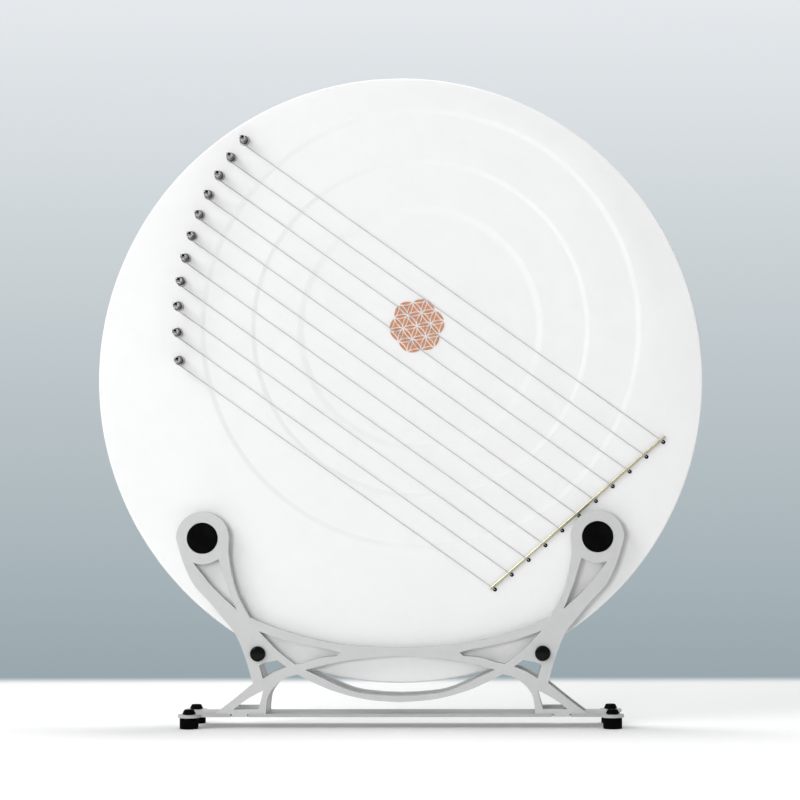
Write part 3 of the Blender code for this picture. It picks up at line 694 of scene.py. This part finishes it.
def string_points(pin, hole):
    """From the free end round the pin, along to the rod, over it and down through the disc."""
    run = hole - pin
    slope = math.atan2(run.y, run.x) + math.asin(WINDING_RADIUS / run.length)
    heading = Vector((math.cos(slope), math.sin(slope)))
    points = []
    for step in range(WINDING_TURNS * WINDING_STEPS + 1):
        left = WINDING_TURNS - step / WINDING_STEPS
        angle = slope - math.pi / 2 - 2 * math.pi * left
        spot = pin + Vector((math.cos(angle), math.sin(angle))) * WINDING_RADIUS
        points.append(at(spot, -HALF_DISC - RUN_HEIGHT - left * WINDING_PITCH))
    lift = ROD_RADIUS + GAP + STRING_RADIUS
    for angle in range(0, 91, ROD_BEND_STEP):
        bend = math.radians(angle)
        past = HOLE_OFFSET * math.sin(bend)
        spot = hole + heading * ((past - HOLE_OFFSET) / heading.dot(PAST_ROD))
        rise = GAP + ROD_RADIUS + lift * math.cos(bend)
        points.append(at(spot, -HALF_DISC - rise))
    points.append(at(hole, BALL_END_FRONT + BALL_END_LENGTH / 2))
    return points


def strings(steel):
    """Each string is one unbroken wire with its ball end crimped on."""
    front = -BALL_END_FRONT
    back = front - BALL_END_LENGTH
    neck = BALL_END_RADIUS - BALL_END_EDGE
    profile = [(0, front), (neck, front), (BALL_END_RADIUS, front - BALL_END_EDGE)]
    profile += [(BALL_END_RADIUS, back + BALL_END_EDGE), (neck, back), (0, back)]
    ball_end = turned(profile, HOLE_STEPS)
    for number, (pin, hole) in enumerate(zip(pin_places(), string_holes()), 1):
        line = wire(string_points(pin, hole), STRING_RADIUS, STRING_ROUNDNESS)
        end = new_object(f"ball_end_{number:02d}", ball_end, at(hole))
        part(f"string_{number:02d}", combined("UNION", line, [end]), steel)


# The cradle

def boss(x, z):
    return BOSS_X + x, BOSS_Z + z


def knot(x, z):
    return KNOT_X + x, KNOT_Z + z


def foot(x, z):
    return FOOT_X + x, BASE_TOP + z


def plate_outline():
    """The right half, from the middle of the top arc round to that of the lower arc, and its mirror."""
    top_arc = [(0, TOP_ARC_Z), (0.0111, TOP_ARC_Z), (0.0349, TOP_ARC_Z + 0.0015)]
    top_arc += [(0.0586, TOP_ARC_Z + 0.0059), knot(-0.0122, 0.0170), knot(0.0057, 0.0241)]
    inner_arm = [knot(0.0057, 0.0241), knot(0.0116, 0.0354), boss(-0.0211, -0.0309)]
    inner_arm += [boss(-0.0175, -0.0129), boss(-BOSS_RADIUS, 0)]
    outer_arm = [boss(BOSS_RADIUS, 0), boss(0.0126, -0.0165), boss(0.0058, -0.0308)]
    outer_arm += [boss(-0.0049, -0.0427), knot(0.0242, 0.0247), knot(0.0153, 0.0135)]
    outer_arm += [knot(0.0093, -0.0002), knot(0.0034, -0.0197)]
    strut = [knot(0.0034, -0.0197), foot(0.0065, 0.0078), foot(0.0168, 0)]
    half_tab = TAB_WIDTH / 2
    tab = [foot(half_tab, 0), foot(half_tab, -BASE_THICKNESS)]
    tab += [foot(-half_tab, -BASE_THICKNESS), foot(-half_tab, 0)]
    leg = [foot(-0.0176, 0), foot(-0.0186, 0.0096), foot(-0.0212, 0.0153), foot(-0.0262, 0.0207)]
    leg += [knot(-0.0193, -0.0157), knot(-0.0265, -0.0138)]
    lower_arc = [knot(-0.0265, -0.0138), (0.0468, LOWER_ARC_Z + 0.0084)]
    lower_arc += [(0.0231, LOWER_ARC_Z + 0.0020), (0, LOWER_ARC_Z)]
    half = through(top_arc)[:-1] + through(inner_arm)[:-1]
    half += arc((BOSS_X, BOSS_Z), BOSS_RADIUS, 180, 0, ROUND_STEPS)[:-1]
    half += through(outer_arm)[:-1] + through(strut) + tab
    half += through(leg)[:-1] + through(lower_arc)
    return half[:-1] + mirrored(half)[:-1]


def plate_windows():
    """The lens in the middle, the windows of the right half and their mirrors."""
    right = [arm_window(), middle_window(), small_window(), toe_window()]
    right.append(circle((BOSS_X, BOSS_Z), PAD_NECK_RADIUS + GAP, PAD_STEPS))
    right.append(circle((KNOT_X, KNOT_Z), BOLT_RADIUS + GAP, SMALL_STEPS))
    return [lens_window()] + right + [mirrored(window) for window in right]


def lens_window():
    top = TOP_ARC_Z - TOP_BAR
    bottom = LOWER_ARC_Z + LOWER_BAR
    tip = knot(-0.0318, -0.0108)
    half = through([(0, top), (0.0112, top - 0.0004), (0.0398, top - 0.0038), tip])[:-1]
    half += through([tip, (0.0349, bottom + 0.0043), (0.0171, bottom + 0.0009), (0, bottom)])
    return half[:-1] + mirrored(half)[:-1]


def arm_window():
    outline = arc((BOSS_X, BOSS_Z), BOSS_RADIUS - WINDOW_INSET, *WINDOW_TOP_ANGLES, WINDOW_TOP_STEPS)[:-1]
    outline += through([boss(-0.0107, -0.0138), boss(-0.0160, -0.0300), knot(0.0158, 0.0333)])
    return outline + through([knot(0.0140, 0.0292), boss(-0.0072, -0.0331), boss(0.0063, -0.0162)])[:-1]


def middle_window():
    outline = through([knot(-0.0008, 0.0149), knot(-0.0142, 0.0101), knot(-0.0312, 0.0058),
                       (0.0473, TOP_ARC_Z - 0.0014), (0.0396, TOP_ARC_Z - 0.0034)])
    outline += through([(0.0420, TOP_ARC_Z - 0.0057), (0.0527, TOP_ARC_Z - 0.0067),
                        knot(-0.0312, -0.0059), knot(-0.0248, -0.0073)])
    return outline + through([knot(-0.0248, -0.0073), knot(-0.0142, 0.0010), knot(-0.0077, 0.0074),
                              knot(-0.0008, 0.0149)])[1:-1]


def small_window():
    outline = through([knot(-0.0008, -0.0079), knot(-0.0043, -0.0060), knot(-0.0131, -0.0044)])
    return outline + [knot(-0.0190, -0.0088), knot(-0.0116, -0.0117), knot(-0.0033, -0.0166)]


def toe_window():
    outline = through([foot(-0.0159, 0.0156), foot(-0.0077, 0.0113), foot(-0.0013, 0.0071),
                       foot(0.0038, 0.0031)])
    return outline + through([foot(-0.0125, 0.0031), foot(-0.0143, 0.0092), foot(-0.0159, 0.0156)])[:-1]


def cradle_plate(name, side, aluminium):
    mesh = flat([plate_outline()] + plate_windows(), PLATE_THICKNESS)
    mesh.transform(TO_FRONT)
    bevel(part(name, mesh, aluminium, (0, side * PLATE_MIDDLE, 0)), PLATE_EDGE)


def base_quarter():
    """The front right quarter, from the notch for the tab round the ear to the right end."""
    notch = TAB_WIDTH / 2 + NOTCH_PLAY
    inner = -PLATE_INNER + GAP
    start = 180 - math.degrees(math.asin(EAR_INSET / EAR_RADIUS))
    quarter = [(FOOT_X - notch, -BASE_HALF_WIDTH), (FOOT_X - notch, inner)]
    quarter += [(FOOT_X + notch, inner), (FOOT_X + notch, -BASE_HALF_WIDTH)]
    return quarter + arc((BASE_HALF_LENGTH, -EAR_Y), EAR_RADIUS, start, 450, ROUND_STEPS)


def base_plate(aluminium):
    """One outline with four ears and notches, and holes for the feet and the screws."""
    right = base_quarter()
    right = right[:-1] + [(x, -y) for x, y in reversed(right)]
    left = [(-x, -y) for x, y in right]
    screws = [(hand * (FOOT_X + SCREW_OFFSET), side * PLATE_MIDDLE) for hand in (-1, 1) for side in (-1, 1)]
    holes = [circle(place, FOOT_NECK_RADIUS + GAP, SMALL_STEPS) for place in foot_places()]
    holes += [circle(place, SCREW_HEAD_RADIUS + GAP, SMALL_STEPS) for place in screws]
    mesh = flat([right + left] + holes, BASE_THICKNESS)
    mesh.transform(Matrix.Translation((0, 0, BASE_BOTTOM + BASE_THICKNESS / 2)))
    bevel(part("base_plate", mesh, aluminium), BASE_EDGE)


def foot_places():
    return [(hand * BASE_HALF_LENGTH, side * EAR_Y) for side in (-1, 1) for hand in (-1, 1)]


def feet(rubber):
    """A rounded foot, a neck through the base plate and a nub above it."""
    nub = BASE_TOP + GAP
    top = nub + FOOT_NUB_HEIGHT
    rim = FOOT_RADIUS - FOOT_EDGE
    profile = [(0, top), (FOOT_NUB_TOP_RADIUS - FOOT_EDGE, top), (FOOT_NUB_TOP_RADIUS, top - FOOT_EDGE)]
    profile += [(FOOT_NUB_RADIUS, nub + FOOT_EDGE), (FOOT_NUB_RADIUS - FOOT_EDGE, nub)]
    profile += [(FOOT_NECK_RADIUS, nub), (FOOT_NECK_RADIUS, FOOT_HEIGHT)]
    profile += arc((rim, FOOT_HEIGHT - FOOT_EDGE), FOOT_EDGE, 90, 0, FOOT_EDGE_STEPS)
    profile += arc((rim, FOOT_EDGE), FOOT_EDGE, 0, -90, FOOT_EDGE_STEPS) + [(0, 0)]
    mesh = turned(profile, ROUND_STEPS, upright=True)
    names = ("foot_front_left", "foot_front_right", "foot_rear_left", "foot_rear_right")
    for name, (x, y) in zip(names, foot_places()):
        part(name, mesh, rubber, (x, y, 0))


def four_corners(stem, mesh, finish, x, z):
    """Copies of a piece that faces front, at the left and right of both plates."""
    for side, turn in (("front", 0), ("rear", math.pi)):
        for hand, sign in (("left", -1), ("right", 1)):
            item = part(f"{stem}_{side}_{hand}", mesh, finish, (sign * x, 0, z))
            item.rotation_euler.z = turn


def pads(rubber):
    """A plug through the boss, with a flange between the plate and the disc."""
    face = PLATE_OUTER + PAD_PROUD
    flange = PLATE_INNER - GAP
    back = HALF_DISC + GAP
    profile = [(0, face), (PAD_NECK_RADIUS - PAD_EDGE, face), (PAD_NECK_RADIUS, face - PAD_EDGE)]
    profile += [(PAD_NECK_RADIUS, flange), (PAD_FLANGE_RADIUS - PAD_EDGE, flange)]
    profile += [(PAD_FLANGE_RADIUS, flange - PAD_EDGE), (PAD_FLANGE_RADIUS, back), (0, back)]
    four_corners("pad", turned(profile, PAD_STEPS), rubber, BOSS_X, BOSS_Z)


def cap_nuts(black):
    """Domed nuts with a blind bore for the end of the bolt."""
    seat = PLATE_OUTER + GAP
    dome = NUT_HEIGHT / 2
    bore = BOLT_RADIUS + GAP
    profile = [(0, seat + NUT_HEIGHT)]
    for angle in range(90 - NUT_DOME_STEP, -1, -NUT_DOME_STEP):
        lean = math.radians(angle)
        profile.append((NUT_RADIUS * math.cos(lean), seat + dome + dome * math.sin(lean)))
    profile += [(NUT_RADIUS, seat), (bore, seat), (bore, BOLT_END + GAP), (0, BOLT_END + GAP)]
    four_corners("cap_nut", turned(profile, ROUND_STEPS), black, KNOT_X, KNOT_Z)


def cross_bolts(steel):
    """Bolts through both plates, with sleeves between the plates that the rim rests on."""
    rod = turned([(0, BOLT_END), (BOLT_RADIUS, BOLT_END), (BOLT_RADIUS, -BOLT_END), (0, -BOLT_END)],
                 SMALL_STEPS)
    bore = BOLT_RADIUS + GAP
    reach = PLATE_INNER - GAP
    sleeve = turned([(SLEEVE_RADIUS, reach), (SLEEVE_RADIUS, -reach), (bore, -reach), (bore, reach)],
                    ROUND_STEPS, ring=True)
    for hand, sign in (("left", -1), ("right", 1)):
        place = (sign * KNOT_X, 0, KNOT_Z)
        part(f"cross_bolt_{hand}", rod, steel, place)
        part(f"spacer_sleeve_{hand}", sleeve, steel, place)


def base_screws(steel):
    """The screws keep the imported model's shape and take a finish."""
    for name, node in frame["nodes"].items():
        if name.startswith("base_screw"):
            for slot in node.material_slots:
                slot.material = steel


# Shader nodes

def set_inputs(tree, node, inputs):
    """Gives each named input of a node a value, or another node's output to follow."""
    for name, value in inputs.items():
        if isinstance(value, bpy.types.NodeSocket):
            tree.links.new(value, node.inputs[name])
        else:
            node.inputs[name].default_value = value


def add_node(tree, kind, inputs):
    made = tree.nodes.new(kind)
    set_inputs(tree, made, inputs)
    return made


def calculated(tree, operation, first, second):
    made = add_node(tree, "ShaderNodeMath", {0: first, 1: second})
    made.operation = operation
    return made.outputs["Value"]


def coordinates(tree, kind):
    """The X, Y and Z of a kind of texture coordinate."""
    where = tree.nodes.new("ShaderNodeTexCoord")
    return add_node(tree, "ShaderNodeSeparateXYZ", {"Vector": where.outputs[kind]}).outputs


def mapped(tree, value, start, end, low=0.0, high=1.0, smooth=False):
    """Runs from low to high while a value runs from start to end."""
    spread = add_node(tree, "ShaderNodeMapRange", {
        "Value": value, "From Min": start, "From Max": end, "To Min": low, "To Max": high})
    if smooth:
        spread.interpolation_type = "SMOOTHSTEP"
    return spread.outputs["Result"]


def ramp(tree, value, stops):
    """Blends from one colour to the next; each stop is a position and a colour."""
    made = add_node(tree, "ShaderNodeValToRGB", {"Fac": value})
    elements = made.color_ramp.elements
    for position, _ in stops[1:-1]:
        elements.new(position)
    for element, (position, color) in zip(elements, stops):
        element.position = position
        element.color = (*color, 1)
    return made.outputs["Color"]


def noise(tree, scale, kind):
    """Noise on the piece's own coordinates, so much coarser than the grain as its kind says."""
    coarser, detail = kind
    where = tree.nodes.new("ShaderNodeTexCoord")
    made = add_node(tree, "ShaderNodeTexNoise", {
        "Vector": where.outputs["Object"], "Scale": scale / coarser, "Detail": detail})
    return made.outputs["Fac"]


# Finishes

def plain(slot, color, roughness, metallic=0.0):
    """A material for a slot with a Principled shader, and that shader."""
    made = bpy.data.materials.new(slot)
    made["slot"] = slot
    made.use_nodes = True
    shader = made.node_tree.nodes["Principled BSDF"]
    set_inputs(made.node_tree, shader, {
        "Base Color": (*color, 1.0), "Roughness": roughness, "Metallic": metallic})
    return made, shader


def grained(slot, values):
    """A finish whose colour, gloss and fine relief all vary a little over the surface."""
    dark, light, rough, scale, depth, metallic = values
    middle = [(a + b) / 2 for a, b in zip(dark, light)]
    made, shader = plain(slot, middle, sum(rough) / 2, metallic)
    tree = made.node_tree
    color = ramp(tree, noise(tree, scale, COLOR_NOISE), ((NOISE_LOW, dark), (NOISE_HIGH, light)))
    gloss = mapped(tree, noise(tree, scale, GLOSS_NOISE), NOISE_LOW, NOISE_HIGH, *rough)
    relief = add_node(tree, "ShaderNodeBump", {
        "Height": noise(tree, scale, RELIEF_NOISE), "Distance": depth, "Strength": 1.0})
    set_inputs(tree, shader, {"Base Color": color, "Roughness": gloss, "Normal": relief.outputs["Normal"]})
    return made, shader


def quartz_finish():
    """White frosted quartz: a fine ground skin that lets a little light in."""
    made, shader = grained("quartz", FINISHES["quartz"])
    set_inputs(made.node_tree, shader, QUARTZ_DEPTH)
    return made


def string_finish():
    """Drawn steel, coloured darker where it is wound round the pins: painted shade on the windings."""
    made, shader = grained("string_steel", FINISHES["string_steel"])
    tree = made.node_tree
    drawn = shader.inputs["Base Color"].links[0].from_socket
    run = -HALF_DISC - RUN_HEIGHT
    # Painted shade: the windings take the darker colour
    wound = mapped(tree, coordinates(tree, "Object")["Y"], run, run - WINDING_PITCH / 2)
    mix = add_node(tree, "ShaderNodeMixRGB", {"Fac": wound, "Color1": drawn, "Color2": (*WOUND_PAINTED_SHADE, 1)})
    set_inputs(tree, shader, {"Base Color": mix.outputs["Color"]})
    return made


def matt_finish(slot):
    """A finish with fainter reflections than its gloss alone gives."""
    made, shader = grained(slot, FINISHES[slot])
    set_inputs(made.node_tree, shader, MATT_VALUES[slot])
    return made


def simple_finish(slot, values=None):
    return grained(slot, values or FINISHES[slot])[0]


def dress():
    """Makes every piece in its finish."""
    rubber = matt_finish("rubber")
    aluminium = simple_finish("aluminium")
    steel = simple_finish("steel")
    disc(quartz_finish())
    rosette(simple_finish("copper"))
    bridge_rod(simple_finish("brass"))
    hole_linings(rubber)
    bushings(simple_finish("nylon"))
    tuning_pins(simple_finish("chrome"))
    strings(string_finish())
    cradle_plate("cradle_plate_front", -1, aluminium)
    cradle_plate("cradle_plate_rear", 1, aluminium)
    # The base plate's darker aluminium is painted shade
    base_plate(simple_finish("aluminium", BASE_ALUMINIUM_PAINTED_SHADE))
    pads(rubber)
    cap_nuts(matt_finish("black_cap"))
    feet(rubber)
    cross_bolts(steel)
    base_screws(steel)


# Studio

def camera():
    data = bpy.data.cameras.new("camera")
    data.sensor_width = SENSOR_WIDTH
    data.lens = FOCAL_PIXELS / (2 * IMAGE_MIDDLE) * SENSOR_WIDTH
    data.clip_start, data.clip_end = CLIP_RANGE
    depth = Vector((VANISHING_POINT[0] - IMAGE_MIDDLE, VANISHING_POINT[1] - IMAGE_MIDDLE, FOCAL_PIXELS))
    depth.normalize()
    down = Vector((ROLL, 1.0, 0.0))
    down = (down - depth * down.dot(depth)).normalized()
    right = depth.cross(-down)
    turn = Matrix([(row.x, -row.y, -row.z) for row in (right, depth, -down)]).to_4x4()
    made = new_object("camera", data)
    made.matrix_world = Matrix.Translation(CAMERA_PLACE) @ turn
    bpy.context.scene.camera = made


def area_light(name, place, size, power, shines):
    data = bpy.data.lights.new(name, "AREA")
    data.shape = "RECTANGLE"
    data.size, data.size_y = size
    data.energy = power
    made = new_object(name, data, place)
    made.rotation_euler = (Vector(LIT_POINT) - Vector(place)).to_track_quat("-Z", "Y").to_euler()
    made.visible_glossy = shines


def backdrop_color(tree, pixel):
    """The backdrop's colour at a height in the picture, counted down from its top."""
    return ramp(tree, mapped(tree, pixel, 0.0, BACKDROP_PIXELS), BACKDROP_COLORS)


def floor():
    """White near the harp; past the backdrop's line it takes the backdrop's colours."""
    half = FLOOR_SIZE / 2
    mesh = bpy.data.meshes.new("floor")
    mesh.from_pydata([(-half, -half, 0), (half, -half, 0), (half, half, 0), (-half, half, 0)], [],
                     [(0, 1, 2, 3)])
    new_object("floor", mesh)
    paint, shader = plain("floor", FLOOR_WHITE, FLOOR_ROUGHNESS)
    tree = paint.node_tree
    rays = tree.nodes.new("ShaderNodeLightPath")
    set_inputs(tree, shader, {
        "Specular IOR Level": FLOOR_SPECULAR, "Emission Color": (1, 1, 1, 1),
        "Emission Strength": calculated(tree, "MULTIPLY", rays.outputs["Is Camera Ray"], FLOOR_GLOW)})
    y = coordinates(tree, "Object")["Y"]
    away = calculated(tree, "SUBTRACT", y, CAMERA_PLACE[1])
    away = calculated(tree, "MAXIMUM", away, LEAST_DISTANCE)
    below = calculated(tree, "DIVIDE", FOCAL_PIXELS * CAMERA_PLACE[2], away)
    pixel = calculated(tree, "ADD", below, HORIZON_PIXEL)
    far = add_node(tree, "ShaderNodeEmission", {"Color": backdrop_color(tree, pixel)})
    start, end = [BACKDROP_Y + offset for offset in BACKDROP_BLEND]
    mix = add_node(tree, "ShaderNodeMixShader", {
        "Fac": mapped(tree, y, start, end, smooth=True),
        1: shader.outputs["BSDF"], 2: far.outputs["Emission"]})
    set_inputs(tree, tree.nodes["Material Output"], {"Surface": mix.outputs["Shader"]})
    mesh.materials.append(paint)


def world():
    """An even pale light, the backdrop for the camera, and dark in front for what shines."""
    made = bpy.data.worlds.new("studio")
    made.use_nodes = True
    bpy.context.scene.world = made
    tree = made.node_tree
    rays = tree.nodes.new("ShaderNodeLightPath")
    place = coordinates(tree, "Generated")
    side = mapped(tree, place["Y"], FRONT_DARK, 0.0, -WORLD_LIGHT, GLOSSY_LIGHT - WORLD_LIGHT, smooth=True)
    shine = calculated(tree, "MULTIPLY", rays.outputs["Is Glossy Ray"], side)
    light = tree.nodes["Background"]
    set_inputs(tree, light, {
        "Color": (*WORLD_TINT, 1), "Strength": calculated(tree, "ADD", WORLD_LIGHT, shine)})
    rise = calculated(tree, "MULTIPLY", place["Z"], -FOCAL_PIXELS)
    pixel = calculated(tree, "ADD", rise, HORIZON_PIXEL)
    seen = add_node(tree, "ShaderNodeBackground", {"Color": backdrop_color(tree, pixel)})
    mix = add_node(tree, "ShaderNodeMixShader", {
        "Fac": rays.outputs["Is Camera Ray"],
        1: light.outputs["Background"], 2: seen.outputs["Background"]})
    set_inputs(tree, tree.nodes["World Output"], {"Surface": mix.outputs["Shader"]})


def studio():
    camera()
    floor()
    world()
    for name, values in LAMPS.items():
        area_light(name, *values)
    bpy.context.scene.view_settings.view_transform = "Standard"


dress()
studio()
